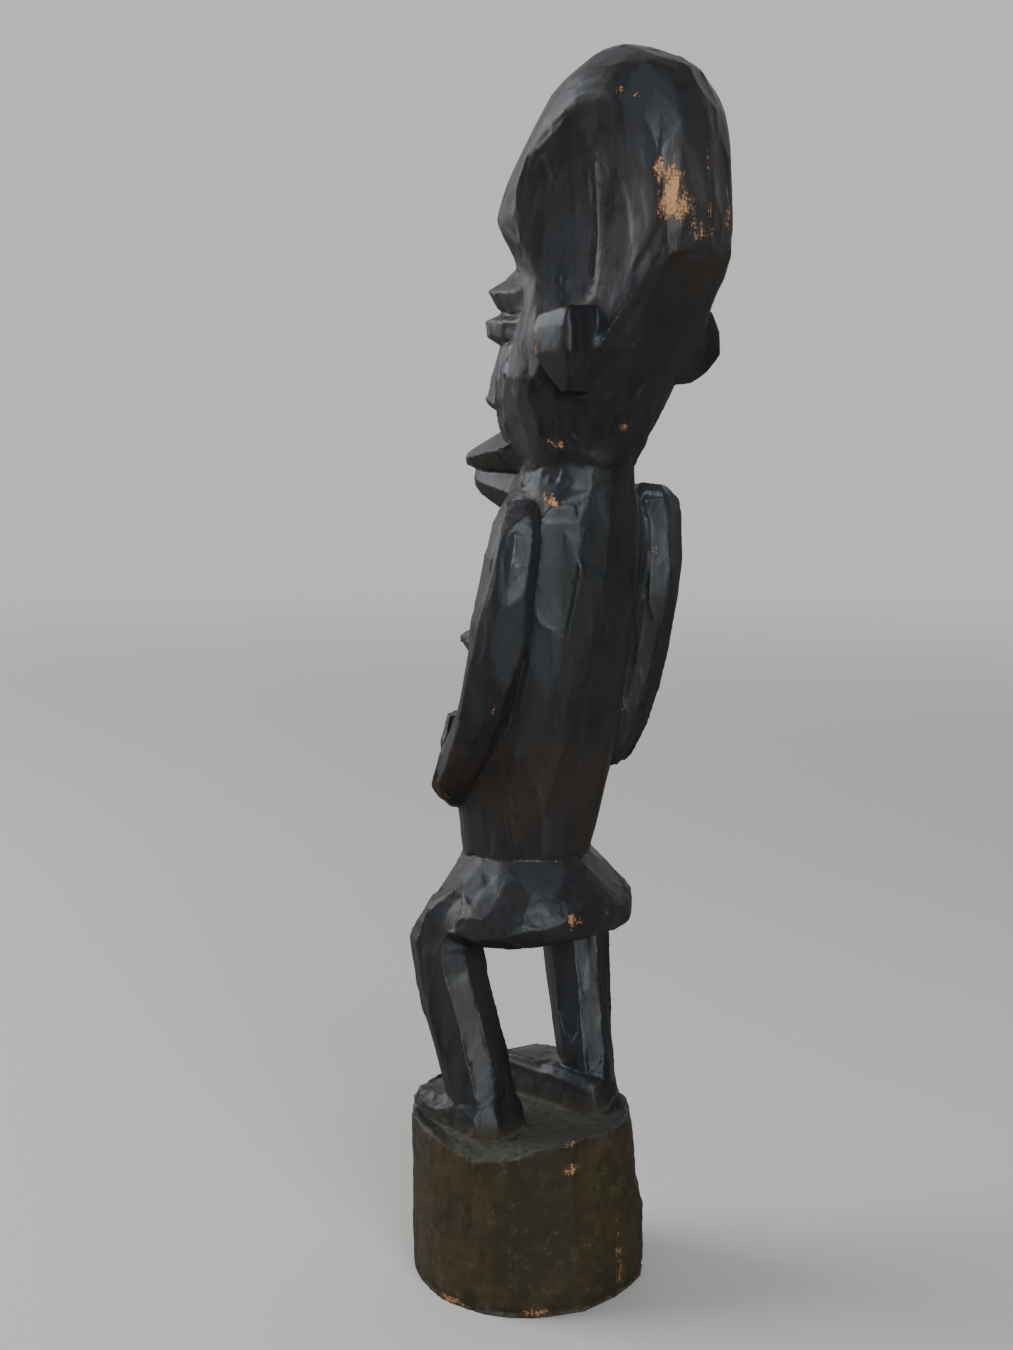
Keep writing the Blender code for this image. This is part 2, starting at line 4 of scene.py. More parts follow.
import bpy
import numpy as np
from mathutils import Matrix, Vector

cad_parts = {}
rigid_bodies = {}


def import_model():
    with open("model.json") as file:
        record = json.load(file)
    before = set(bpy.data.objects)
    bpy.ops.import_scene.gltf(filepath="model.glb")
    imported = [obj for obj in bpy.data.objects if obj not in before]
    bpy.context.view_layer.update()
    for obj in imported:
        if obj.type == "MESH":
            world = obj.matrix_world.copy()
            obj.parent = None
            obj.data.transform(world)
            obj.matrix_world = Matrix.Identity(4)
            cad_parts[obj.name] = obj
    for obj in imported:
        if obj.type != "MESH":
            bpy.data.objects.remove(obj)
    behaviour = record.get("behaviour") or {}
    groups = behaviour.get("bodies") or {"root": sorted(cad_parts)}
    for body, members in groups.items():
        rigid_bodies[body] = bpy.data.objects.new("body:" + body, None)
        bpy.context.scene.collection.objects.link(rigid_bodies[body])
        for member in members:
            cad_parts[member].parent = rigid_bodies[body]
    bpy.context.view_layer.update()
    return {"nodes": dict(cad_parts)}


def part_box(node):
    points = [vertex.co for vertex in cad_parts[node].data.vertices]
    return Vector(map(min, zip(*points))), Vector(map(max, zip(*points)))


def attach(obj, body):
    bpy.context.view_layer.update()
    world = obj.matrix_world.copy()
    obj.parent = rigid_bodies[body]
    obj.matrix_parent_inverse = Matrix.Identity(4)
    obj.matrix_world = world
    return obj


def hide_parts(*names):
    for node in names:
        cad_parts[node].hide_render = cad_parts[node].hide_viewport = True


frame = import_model()
print("frame loaded")


def deselectAll():
    if bpy.context.mode != "OBJECT":
        bpy.ops.object.mode_set(mode="OBJECT")
    bpy.ops.object.select_all(action="DESELECT")


def makeActive(piece):
    deselectAll()
    piece.select_set(True)
    bpy.context.view_layer.objects.active = piece


def applyModifier(piece, kind, **settings):
    makeActive(piece)
    modifier = piece.modifiers.new(kind.title(), kind)
    for name, value in settings.items():
        setattr(modifier, name, value)
    bpy.ops.object.modifier_apply(modifier=modifier.name)


# Carved figure: all lengths in metres, all places in the frame of the CAD part

carving = {
    "seed": 7,
    "voxel": 0.0007,
    "triangles": 190000,
    "weld": 0.00001,
    # knife strokes: width, stretch along the grain, tilt in degrees, hollow, most that one moves the surface
    "strokes": (
        (0.0120, 4.2, 1.2, 0.00008, 0.00050),
        (0.0055, 4.5, 0.9, 0.00003, 0.00018),
    ),
    "turnWeight": 0.012,
    "stepWidth": 0.0005,
    "strokeTries": 16000,
    "toneSpread": 0.45,
    "logTop": 0.056,
    # how far below and above its top the log blends into the feet, for the relief and for the stain
    "reliefBlend": (0.004, 0.002),
    "stainBlend": (0.006, 0.003),
    "endGrain": 0.00035,
    "sideRipple": 0.00010,
    "sideRough": 0.00014,
    "grainStretch": 0.12,
    "grainSizes": (0.0013, 0.0031),
    "roughSizes": (0.0016, 0.0038),
    # upward part of the normal between which side grain turns into end grain
    "flatBand": (0.6, 0.9),
    # wear round the foot: depth, heights between which it fades, unevenness of that height
    "footWear": 0.0007,
    "footBand": (0.0005, 0.0042),
    "footRagged": 0.0016,
    # up to these heights the underside is left as it is by rubbing, knife strokes and roughening
    "soleKept": (0.0020, 0.0012, 0.0004),
    # surface bulge counted as an edge, surface dip counted as a hollow
    "edgeBand": (0.00004, 0.00030),
    "hollowBand": (0.00005, 0.00040),
    # open end grain on the rim: how far it faces up, heights between which it starts
    "rimFacing": (0.35, 0.8),
    "rimRise": (0.040, 0.046),
    # shares of the reach between which rubbed places, uncut forms and spots fade out
    "rubFade": (0.7, 1.1),
    "crispFade": (0.75, 1.15),
    "spotFade": (0.35, 1.5),
    # places rubbed round: middle, reach, rounds of smoothing
    "rubbed": (
        ((-0.006, -0.002, 0.1230), (0.040, 0.036, 0.0150), 26),
        ((0.0160, 0.0020, 0.0570), (0.015, 0.015, 0.0070), 22),
        ((-0.0250, 0.0160, 0.0590), (0.012, 0.012, 0.0080), 14),
        ((0.0000, 0.0000, 0.0560), (0.048, 0.048, 0.0060), 8),
        ((0.0270, 0.0220, 0.2560), (0.012, 0.012, 0.0080), 10),
        ((0.0180, 0.0300, 0.3560), (0.022, 0.046, 0.0440), 34),
        ((-0.0300, 0.0300, 0.3560), (0.022, 0.046, 0.0440), 34),
        ((0.0150, 0.0180, 0.2660), (0.016, 0.016, 0.0100), 20),
    ),
    # forms that the strokes cut less: middle, reach, share of each stroke left out
    "crisp": (
        ((0.0255, 0.0370, 0.3040), (0.013, 0.014, 0.0190), 0.85),
        ((-0.0375, 0.0370, 0.3040), (0.013, 0.014, 0.0190), 0.85),
        ((-0.0060, -0.0080, 0.3150), (0.034, 0.020, 0.0200), 0.85),
        ((-0.0060, -0.0220, 0.2680), (0.026, 0.024, 0.0180), 0.85),
        ((-0.0060, -0.0220, 0.1700), (0.026, 0.016, 0.0200), 0.85),
        ((0.0150, 0.0300, 0.3480), (0.024, 0.046, 0.0500), 0.32),
        ((-0.0270, 0.0300, 0.3480), (0.024, 0.046, 0.0500), 0.32),
    ),
    # cuts and drying cracks: points along each, half width, depth
    "cuts": (
        (
            (
                (0.0140, 0.0407, 0.3600),
                (0.0132, 0.0409, 0.3492),
                (0.0133, 0.0411, 0.3376),
                (0.0143, 0.0412, 0.3270),
            ),
            0.0008,
            0.0005,
        ),
        (((0.0160, 0.0092, 0.1648), (0.0156, 0.0088, 0.1600), (0.0149, 0.0080, 0.1560)), 0.0010, 0.0012),
        (((-0.0030, 0.0370, 0.0200), (-0.0040, 0.0378, 0.0110), (-0.0045, 0.0386, 0.0010)), 0.0011, 0.0009),
        (((0.0358, 0.0100, 0.0500), (0.0362, 0.0105, 0.0330), (0.0372, 0.0100, 0.0180)), 0.0010, 0.0009),
        (
            ((-0.0300, -0.0200, 0.0480), (-0.0305, -0.0205, 0.0250), (-0.0310, -0.0210, 0.0060)),
            0.0011,
            0.0010,
        ),
        (((0.0080, -0.0370, 0.0400), (0.0090, -0.0372, 0.0200)), 0.0010, 0.0008),
        (((-0.0120, 0.0290, 0.2200), (-0.0115, 0.0275, 0.2060)), 0.0009, 0.0007),
    ),
    # bare wood: place, half size along the grain, half size across, strength
    "bareSpots": (
        (0.0107, 0.0628, 0.3562, 0.0050, 0.0018, 0.85),
        (0.0078, 0.0660, 0.3530, 0.0060, 0.0022, 0.95),
        (0.0086, 0.0652, 0.3480, 0.0050, 0.0024, 1.00),
        (0.0102, 0.0644, 0.3452, 0.0042, 0.0022, 0.90),
        (0.0066, 0.0677, 0.3446, 0.0040, 0.0026, 0.70),
        (0.0045, 0.0685, 0.3480, 0.0060, 0.0030, 0.62),
        (0.0020, 0.0690, 0.3400, 0.0035, 0.0030, 0.50),
        (-0.0042, 0.0697, 0.3570, 0.0080, 0.0010, 0.50),
        (-0.0036, 0.0705, 0.3440, 0.0090, 0.0010, 0.45),
        (-0.0010, 0.0694, 0.3385, 0.0030, 0.0050, 0.50),
        (0.0146, 0.0513, 0.3802, 0.0016, 0.0016, 0.50),
        (0.0135, 0.0542, 0.3783, 0.0013, 0.0018, 0.50),
        (-0.0143, 0.0686, 0.3540, 0.0050, 0.0012, 0.45),
        (-0.0146, 0.0692, 0.3450, 0.0055, 0.0016, 0.55),
        (0.0291, 0.0313, 0.3127, 0.0024, 0.0009, 0.60),
        (0.0294, 0.0318, 0.3070, 0.0034, 0.0010, 0.75),
        (0.0207, 0.0446, 0.3030, 0.0026, 0.0012, 0.60),
        (0.0142, 0.0225, 0.2783, 0.0018, 0.0022, 0.55),
        (0.0125, 0.0252, 0.2768, 0.0016, 0.0030, 0.60),
        (-0.0020, 0.0391, 0.2823, 0.0012, 0.0020, 0.60),
        (0.0137, 0.0212, 0.2611, 0.0020, 0.0020, 0.70),
        (0.0143, 0.0243, 0.2594, 0.0022, 0.0018, 0.75),
        (-0.0344, 0.0238, 0.2390, 0.0045, 0.0008, 0.85),
        (0.0055, 0.0253, 0.1256, 0.0022, 0.0013, 0.75),
        (0.0018, 0.0260, 0.1240, 0.0026, 0.0018, 0.90),
        (0.0146, 0.0005, 0.1448, 0.0010, 0.0016, 0.60),
        (0.0250, -0.0134, 0.1630, 0.0030, 0.0030, 0.45),
        (0.0305, 0.0150, 0.1960, 0.0022, 0.0007, 0.60),
        (0.0120, 0.0320, 0.0558, 0.0020, 0.0050, 0.55),
        (0.0135, 0.0330, 0.0463, 0.0022, 0.0040, 0.60),
        (-0.0042, 0.0379, 0.0120, 0.0120, 0.0016, 0.50),
        (0.0398, 0.0040, 0.0015, 0.0014, 0.0060, 0.70),
        (0.0290, 0.0300, 0.0016, 0.0012, 0.0060, 0.65),
        (-0.0250, -0.0310, 0.0014, 0.0014, 0.0070, 0.60),
        (0.0000, -0.0050, 0.3480, 0.0040, 0.0012, 0.50),
        (-0.0310, 0.0330, 0.3030, 0.0040, 0.0012, 0.60),
        (-0.0280, -0.0140, 0.1630, 0.0026, 0.0026, 0.50),
        (0.0060, -0.0330, 0.1260, 0.0030, 0.0040, 0.45),
    ),
    # strokes left smoother and painted paler as painted sheen where the facets catch the light: place, half
    # size along the grain, half size across, strength
    "paintedSheenStrokes": (
        (0.0092, 0.0630, 0.3660, 0.0120, 0.0060, 0.90),
        (0.0118, 0.0530, 0.3560, 0.0170, 0.0050, 0.30),
        (0.0150, 0.0500, 0.3120, 0.0100, 0.0040, 0.30),
        (0.0125, 0.0245, 0.2250, 0.0400, 0.0060, 0.80),
        (0.0328, 0.0245, 0.2220, 0.0280, 0.0045, 1.00),
        (-0.0345, 0.0235, 0.2380, 0.0200, 0.0045, 0.50),
        (0.0120, 0.0090, 0.1400, 0.0060, 0.0080, 0.80),
        (0.0060, 0.0140, 0.1400, 0.0060, 0.0060, 0.90),
        (0.0256, 0.0056, 0.1274, 0.0060, 0.0040, 0.70),
        (0.0300, 0.0345, 0.3100, 0.0080, 0.0040, 0.60),
        (0.0200, 0.0090, 0.2970, 0.0140, 0.0060, 0.80),
        (0.0270, -0.0080, 0.0900, 0.0200, 0.0040, 0.70),
        (-0.0210, 0.0060, 0.0900, 0.0200, 0.0040, 0.70),
        (-0.0330, 0.0040, 0.3560, 0.0160, 0.0060, 0.70),
        (-0.0250, -0.0250, 0.2200, 0.0200, 0.0060, 0.50),
        (0.0100, -0.0200, 0.1950, 0.0200, 0.0060, 0.50),
        (-0.0180, -0.0190, 0.0950, 0.0200, 0.0050, 0.60),
    ),
    # brown showing through the stain: place, half size along the grain, half size across, strength
    "brownZones": (
        (-0.0060, 0.0660, 0.3450, 0.0420, 0.0160, 0.75),
        (-0.0140, 0.0480, 0.3030, 0.0260, 0.0160, 0.45),
        (0.0120, 0.0140, 0.1640, 0.0240, 0.0200, 0.90),
        (-0.0120, 0.0180, 0.1640, 0.0240, 0.0200, 0.85),
        (0.0000, -0.0280, 0.1600, 0.0200, 0.0240, 0.60),
        (0.0260, -0.0040, 0.1690, 0.0160, 0.0120, 0.75),
        (-0.0330, 0.0150, 0.2050, 0.0420, 0.0060, 0.70),
        (0.0080, 0.0200, 0.1160, 0.0050, 0.0300, 0.80),
        (-0.0080, -0.0200, 0.1150, 0.0050, 0.0300, 0.60),
        (0.0200, -0.0060, 0.0900, 0.0260, 0.0080, 0.55),
    ),
}


def readMesh(piece):
    mesh = piece.data
    count = len(mesh.vertices)
    places = np.empty(count * 3, np.float32)
    mesh.vertices.foreach_get("co", places)
    normals = np.empty(count * 3, np.float32)
    mesh.vertex_normals.foreach_get("vector", normals)
    edges = np.empty(len(mesh.edges) * 2, np.int32)
    mesh.edges.foreach_get("vertices", edges)
    return places.reshape(-1, 3).astype(float), normals.reshape(-1, 3).astype(float), edges.reshape(-1, 2)


def writeMesh(piece, places):
    piece.data.vertices.foreach_set("co", places.astype(np.float32).ravel())
    piece.data.update()


def neighbourMean(values, edges, rounds):
    count = len(values)
    ends = np.concatenate([edges[:, 0], edges[:, 1]])
    others = np.concatenate([edges[:, 1], edges[:, 0]])
    degree = np.maximum(1, np.bincount(ends, minlength=count))
    flat = values.reshape(count, -1)
    for _ in range(rounds):
        total = np.stack([np.bincount(ends, flat[others, k], count) for k in range(flat.shape[1])], 1)
        flat = 0.5 * flat + 0.5 * total / degree[:, None]
    return flat.reshape(values.shape)


def unit(vectors):
    return vectors / np.maximum(1e-9, np.linalg.norm(vectors, axis=-1, keepdims=True))


def smoothstep(low, high, value):
    share = np.clip((value - low) / (high - low), 0, 1)
    return share * share * (3 - 2 * share)


# smooth noise from -1 to 1, the same for a place and seed on every run
def latticeNoise(places, size, seed):
    scaled = places / size
    cell = np.floor(scaled).astype(np.int64)
    share = scaled - cell
    share = share * share * (3 - 2 * share)
    total = np.zeros(len(places))
    for corner in range(8):
        step = np.array([(corner >> k) & 1 for k in range(3)])
        at = cell + step
        key = (at[:, 0] * 73856093) ^ (at[:, 1] * 19349663) ^ (at[:, 2] * 83492791) ^ (seed * 2654435761)
        key = (key ^ (key >> 13)) * 1274126177
        value = ((key ^ (key >> 16)) & 0xFFFF) / 32768.0 - 1
        weight = np.prod(np.where(step == 1, share, 1 - share), axis=1)
        total += value * weight
    return total


# the nearest and next nearest stroke of each place, with how far each is, and how many strokes there are
def strokeCells(places, normals, width, stretch, rng):
    turn = carving["turnWeight"] * width / carving["strokes"][0][0]
    spread = np.hstack([places * np.array([1, 1, 1 / stretch]), normals * turn]).astype(np.float32)
    seeds = np.empty((0, 6), np.float32)
    for index in rng.choice(len(spread), min(len(spread), carving["strokeTries"]), replace=False):
        if len(seeds) == 0 or np.min(np.sum((seeds - spread[index]) ** 2, 1)) > width * width:
            seeds = np.vstack([seeds, spread[index]])
    first = np.empty(len(spread), np.int32)
    second = np.empty(len(spread), np.int32)
    near = np.empty(len(spread))
    far = np.empty(len(spread))
    seedSquares = np.sum(seeds * seeds, 1)
    batch = 20000
    for start in range(0, len(spread), batch):
        part = spread[start:start + batch]
        squares = np.sum(part * part, 1)[:, None] + seedSquares[None, :] - 2 * part @ seeds.T
        rows = np.arange(len(part))
        best = squares.argmin(1)
        near[start:start + batch] = squares[rows, best]
        squares[rows, best] = 1e9
        nextBest = squares.argmin(1)
        far[start:start + batch] = squares[rows, nextBest]
        first[start:start + batch] = best
        second[start:start + batch] = nextBest
    return first, second, np.sqrt(np.maximum(0, near)), np.sqrt(np.maximum(0, far)), len(seeds)


def cellMeans(values, cells, count):
    size = np.maximum(1, np.bincount(cells, minlength=count))
    return np.stack([np.bincount(cells, values[:, k], count) for k in range(3)], 1) / size[:, None]


# each stroke is one tilted, slightly hollow facet: how far each place moves, and how pale its stroke is, a
# random tone plus painted sheen in the listed zones
def cutStrokes(places, normals, stroke, rng):
    width, stretch, tilt, hollow, most = stroke
    first, second, near, far, count = strokeCells(places, normals, width, stretch, rng)
    middles = cellMeans(places, first, count)
    facing = unit(cellMeans(normals, first, count))
    lean = rng.normal(size=facing.shape)
    lean -= facing * np.sum(lean * facing, 1, keepdims=True)
    facing = unit(facing + unit(lean) * np.tan(math.radians(tilt)) * rng.uniform(0.3, 1.5, (count, 1)))

    def offset(cells):
        along = np.sum((middles[cells] - places) * facing[cells], 1)
        return np.clip(along / np.maximum(0.6, np.sum(normals * facing[cells], 1)), -most, most * 0.6)

    share = np.clip(0.5 + 0.5 * (far - near) / carving["stepWidth"], 0, 1)
    move = offset(first) * share + offset(second) * (1 - share)
    move -= hollow * (1 - np.minimum(1, near / (0.6 * width)) ** 2)
    # painted sheen: strokes in these zones are made paler where the facets catch the light
    pale = spotMask(middles, carving["paintedSheenStrokes"], 0.0)
    tonesAndSheen = np.clip(rng.uniform(0, carving["toneSpread"], count) + pale, 0, 1)
    return move, tonesAndSheen[first] * share + tonesAndSheen[second] * (1 - share)


def distanceToLine(places, points):
    best = np.full(len(places), 1e9)
    for start, end in zip(points[:-1], points[1:]):
        a, b = np.array(start), np.array(end)
        along = np.clip((places - a) @ (b - a) / np.sum((b - a) ** 2), 0, 1)
        best = np.minimum(best, np.linalg.norm(places - (a + along[:, None] * (b - a)), axis=1))
    return best


# strength of the strongest spot at each place, with its outline moved in and out by the jitter
def spotMask(places, spots, jitter):
    mask = np.zeros(len(places))
    for x, y, z, tall, wide, strength in spots:
        across = (places[:, 0] - x) ** 2 + (places[:, 1] - y) ** 2
        away = np.sqrt(across / (wide * wide) + ((places[:, 2] - z) / tall) ** 2)
        fade = smoothstep(*carving["spotFade"], away + jitter)
        mask = np.maximum(mask, strength * (1 - fade))
    return mask


def copySolid():
    deselectAll()
    source = frame["nodes"]["carved_figure"]
    source.select_set(True)
    bpy.context.view_layer.objects.active = source
    bpy.ops.object.duplicate()
    piece = bpy.context.active_object
    piece.name = "carvedFigure"
    bpy.ops.object.parent_clear(type="CLEAR_KEEP_TRANSFORM")
    for key in list(piece.keys()):
        del piece[key]
    makeActive(piece)
    bpy.ops.object.mode_set(mode="EDIT")
    bpy.ops.mesh.select_all(action="SELECT")
    bpy.ops.mesh.remove_doubles(threshold=carving["weld"])
    bpy.ops.mesh.normals_make_consistent(inside=False)
    bpy.ops.object.mode_set(mode="OBJECT")
    applyModifier(piece, "REMESH", mode="VOXEL", voxel_size=carving["voxel"])
    print("remeshed", len(piece.data.vertices))
    return piece


# how far each place is from the middle of a zone, 1 at its reach
def zoneShare(places, middle, reach):
    return np.linalg.norm((places - np.array(middle)) / np.array(reach), axis=1)


def rubPlaces(piece, lowest):
    places, _, edges = readMesh(piece)
    for middle, reach, rounds in carving["rubbed"]:
        share = 1 - smoothstep(*carving["rubFade"], zoneShare(places, middle, reach))
        share[places[:, 2] < lowest + carving["soleKept"][0]] = 0
        near = share > 0
        places[near] += ((neighbourMean(places, edges, rounds) - places) * share[:, None])[near]
    writeMesh(piece, places)


def strokeFigure(piece, lowest, rng):
    places, normals, edges = readMesh(piece)
    crisp = np.zeros(len(places))
    for middle, reach, most in carving["crisp"]:
        away = zoneShare(places, middle, reach)
        crisp = np.maximum(crisp, most * (1 - smoothstep(*carving["crispFade"], away)))
    for stroke in carving["strokes"]:
        soft = unit(neighbourMean(normals, edges, 3))
        move, _ = cutStrokes(places, soft, stroke, rng)
        move[(places[:, 2] < lowest + carving["soleKept"][1]) & (normals[:, 2] < -0.5)] = 0
        places = places + soft * (move * (1 - crisp))[:, None]
        writeMesh(piece, places)
        places, normals, edges = readMesh(piece)
    print("strokes cut")


# 1 on the log, fading to 0 at its top
def logShare(places, blend):
    below, above = blend
    return 1 - smoothstep(carving["logTop"] - below, carving["logTop"] + above, places[:, 2])


# cracks, open grain on the log and wear round its foot
def roughenFigure(piece, lowest):
    places, normals, edges = readMesh(piece)
    soft = unit(neighbourMean(normals, edges, 2))
    move = np.zeros(len(places))
    for points, half, depth in carving["cuts"]:
        away = distanceToLine(places, points) + 0.0002 * latticeNoise(places, 0.002, 5)
        move = np.minimum(move, -depth * np.clip(1 - away / half, 0, 1))
    onLog = logShare(places, carving["reliefBlend"])
    flat = smoothstep(*carving["flatBand"], soft[:, 2])
    grainPlaces = places * np.array([1, 1, carving["grainStretch"]])
    fine, coarse = carving["grainSizes"]
    ripple = latticeNoise(grainPlaces, fine, 11) + 0.7 * latticeNoise(grainPlaces, coarse, 12)
    fine, coarse = carving["roughSizes"]
    rough = latticeNoise(places, fine, 13) + latticeNoise(places, coarse, 14)
    move += onLog * (1 - flat) * (carving["sideRipple"] * ripple + carving["sideRough"] * rough)
    move += onLog * flat * carving["endGrain"] * rough
    height = places[:, 2] + carving["footRagged"] * latticeNoise(places, 0.0045, 15)
    worn = 1 - smoothstep(*carving["footBand"], height)
    move -= carving["footWear"] * worn * (soft[:, 2] > -0.8)
    move[(places[:, 2] < lowest + carving["soleKept"][2]) & (normals[:, 2] < -0.5)] = 0
    writeMesh(piece, places + soft * move[:, None])


# fewer triangles, and nothing outside the box of the CAD part
def finishMesh(piece):
    triangles = sum(len(polygon.vertices) - 2 for polygon in piece.data.polygons)
    if triangles > carving["triangles"]:
        share = carving["triangles"] / triangles
        applyModifier(piece, "DECIMATE", ratio=share, use_collapse_triangulate=True)
    low, high = np.array(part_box("carved_figure")[0]), np.array(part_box("carved_figure")[1])
    places, _, _ = readMesh(piece)
    writeMesh(piece, np.clip(places, low, high))
    print("triangles", len(piece.data.polygons))


def carveFigure():
    piece = copySolid()
    lowest = readMesh(piece)[0][:, 2].min()
    rng = np.random.default_rng(carving["seed"])
    rubPlaces(piece, lowest)
    strokeFigure(piece, lowest, rng)
    roughenFigure(piece, lowest)
    finishMesh(piece)
    return piece


def writeMask(piece, name, values):
    layer = piece.data.attributes.new(name, "FLOAT", "POINT")
    layer.data.foreach_set("value", np.clip(values, 0, 2).astype(np.float32))


def maskFigure(piece):
    places, normals, edges = readMesh(piece)
    soft = unit(neighbourMean(normals, edges, 2))
    around = neighbourMean(places, edges, 4)
    bulge = neighbourMean(np.sum((places - around) * soft, 1), edges, 2)
    writeMask(piece, "edge", smoothstep(*carving["edgeBand"], bulge))
    writeMask(piece, "hollow", smoothstep(*carving["hollowBand"], -bulge))
    jitter = 0.35 * latticeNoise(places, 0.0022, 21) + 0.3 * latticeNoise(places, 0.0009, 22)
    writeMask(piece, "bare", spotMask(places, carving["bareSpots"], jitter))
    broad = 0.25 * latticeNoise(places, 0.009, 23)
    writeMask(piece, "brown", spotMask(places, carving["brownZones"], broad))
    writeMask(piece, "onLog", logShare(places, carving["stainBlend"]))
    facingUp = smoothstep(*carving["rimFacing"], soft[:, 2] + 0.2 * latticeNoise(places, 0.002, 24))
    rim = facingUp * smoothstep(*carving["rimRise"], places[:, 2])
    writeMask(piece, "endGrain", rim * (0.7 + 0.3 * latticeNoise(places, 0.0014, 25)))
    # stroke tone: random per stroke, plus painted sheen in the listed zones
    rng = np.random.default_rng(carving["seed"])
    _, toneAndSheen = cutStrokes(places, soft, carving["strokes"][0], rng)
    writeMask(piece, "strokeToneAndSheen", toneAndSheen)


# Stained wood

stain = {
    "slate": (0.0150, 0.0154, 0.0170),
    # bluish grey of the paler strokes, partly a painted sheen
    "pale": (0.0330, 0.0360, 0.0400),
    "black": (0.0055, 0.0055, 0.0062),
    "brown": (0.0290, 0.0165, 0.0090),
    "logBrown": (0.0420, 0.0280, 0.0095),
    "logDark": (0.0240, 0.0185, 0.0080),
    "endGrain": (0.0700, 0.0700, 0.0560),
    "dust": (0.0850, 0.0820, 0.0700),
    "bareWood": (0.5200, 0.2750, 0.1250),
    "bareDark": (0.2200, 0.1050, 0.0450),
    "gloss": 0.32,
    "roughness": 0.49,
    "logRoughness": 0.78,
    "bareRoughness": 0.72,
    "grainBump": 0.00010,
    "toolBump": 0.00008,
    # noise: scale, detail, roughness, distortion
    "fibre": (900.0, 4.0, 0.6, 0.3),
    "streak": (260.0, 3.0, 0.55, 0.4),
    "blotch": (55.0, 3.0, 0.5),
    "grit": (1500.0, 2.0, 0.5),
    "mottle": (210.0, 4.0, 0.65),
    "tool": (420.0, 2.0, 0.5),
    "alongGrain": (1.0, 1.0, 0.06),
    "alongTool": (1.0, 1.0, 0.35),
    # values between which each colour fades in, and how strong it gets
    "slateBand": (0.34, 0.64),
    "brownBand": (0.7, 1.25),
    "brownReach": (0.35, 1.0),
    "paleShare": 0.9,
    "streakShare": 0.35,
    "logBand": (0.95, 1.40),
    "speckBand": (0.34, 0.42),
    "speckShare": 0.55,
    "wornBand": (0.35, 0.6),
    "edgeBand": (0.42, 0.66),
    "edgeReach": (0.05, 0.45),
    "hollowShare": 0.75,
    # how far fibre, grit and mottle fray the bare wood
    "fray": (1.3, 1.5, 1.2),
    "bareBand": (0.34, 0.80),
    "bareRim": (0.02, 0.2),
    "bareFade": (0.45, 1.05),
    "polishDrop": 0.06,
    "polishSpread": 0.12,
    "grainStrength": 0.6,
    "gritShare": 0.35,
    "toolStrength": 0.8,
}


class Nodes:
    def __init__(self, tree):
        self.tree = tree
        self.column = 0

    def add(self, kind, **settings):
        node = self.tree.nodes.new(kind)
        node.location = (self.column * 190, -(self.column % 5) * 220)
        self.column += 1
        for name, value in settings.items():
            setattr(node, name, value)
        return node

    def link(self, source, target):
        self.tree.links.new(source, target)

    def fill(self, socket, value):
        if isinstance(value, tuple):
            socket.default_value = (*value, 1.0)
        elif isinstance(value, (int, float)):
            socket.default_value = value
        else:
            self.link(value, socket)

    def mask(self, name):
        node = self.add("ShaderNodeAttribute", attribute_type="GEOMETRY", attribute_name=name)
        return node.outputs["Fac"]

    def noise(self, vector, scale, detail, roughness, distortion=0.0):
        node = self.add("ShaderNodeTexNoise")
        self.link(vector, node.inputs["Vector"])
        node.inputs["Scale"].default_value = scale
        node.inputs["Detail"].default_value = detail
        node.inputs["Roughness"].default_value = roughness
        node.inputs["Distortion"].default_value = distortion
        return node.outputs["Fac"]

    def stretched(self, vector, scale):
        node = self.add("ShaderNodeMapping")
        self.link(vector, node.inputs["Vector"])
        node.inputs["Scale"].default_value = scale
        return node.outputs["Vector"]

    def remap(self, value, low, high, to=(0.0, 1.0)):
        node = self.add("ShaderNodeMapRange", interpolation_type="SMOOTHSTEP")
        self.link(value, node.inputs["Value"])
        node.inputs["From Min"].default_value = low
        node.inputs["From Max"].default_value = high
        node.inputs["To Min"].default_value = to[0]
        node.inputs["To Max"].default_value = to[1]
        return node.outputs["Result"]

    def combine(self, operation, first, second):
        node = self.add("ShaderNodeMath", operation=operation)
        for socket, value in zip(node.inputs, (first, second)):
            self.fill(socket, value)
        return node.outputs["Value"]

    def plus(self, first, second):
        return self.combine("ADD", first, second)

    def times(self, first, second):
        return self.combine("MULTIPLY", first, second)

    def less(self, first, second):
        return self.combine("SUBTRACT", first, second)

    def mix(self, share, first, second):
        node = self.add("ShaderNodeMix", data_type="RGBA", clamp_factor=True)
        sockets = (node.inputs[0], node.inputs[6], node.inputs[7])
        for socket, value in zip(sockets, (share, first, second)):
            self.fill(socket, value)
        return node.outputs[2]

    def blend(self, share, first, second):
        node = self.add("ShaderNodeMix", data_type="FLOAT", clamp_factor=True)
        sockets = (node.inputs[0], node.inputs[2], node.inputs[3])
        for socket, value in zip(sockets, (share, first, second)):
            self.fill(socket, value)
        return node.outputs[0]


